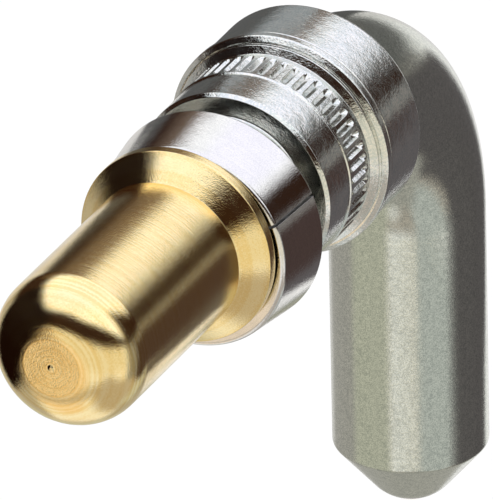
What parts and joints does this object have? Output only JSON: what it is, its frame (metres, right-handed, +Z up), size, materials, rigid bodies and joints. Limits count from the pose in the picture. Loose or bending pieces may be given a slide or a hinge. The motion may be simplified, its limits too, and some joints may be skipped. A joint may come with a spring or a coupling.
{
  "type": "d-sub power contact",
  "caption": "Right-angle male power contact: round-nosed gold pin with collar, loose split retention clip, knurled body with thin disc, and bent round solder tail for a circuit board.",
  "frame": {"origin": "axis of the solder tail at the top face of the board", "axes": "+Z up, away from the board; the mating pin's tip points along -Y; +X to the right seen from the tip's side"},
  "size_m": [0.0054, 0.02, 0.0148],
  "materials": {
    "gold_plate": "polished",
    "spring_nickel": "polished",
    "bright_tin": "polished",
    "satin_tin": "satin"
  },
  "bodies": {
    "contact": {"contact_pin": "gold_plate", "knurled_body": "bright_tin", "solder_tail": "satin_tin"},
    "clip": {"retention_clip": "spring_nickel"}
  },
  "joints": [
    {"name": "clip_turn", "type": "hinge", "parent": "contact", "child": "clip", "pos_m": [0.00006, -0.0107, 0.00791], "axis": [0, 1, 0], "continuous": true}
  ]
}
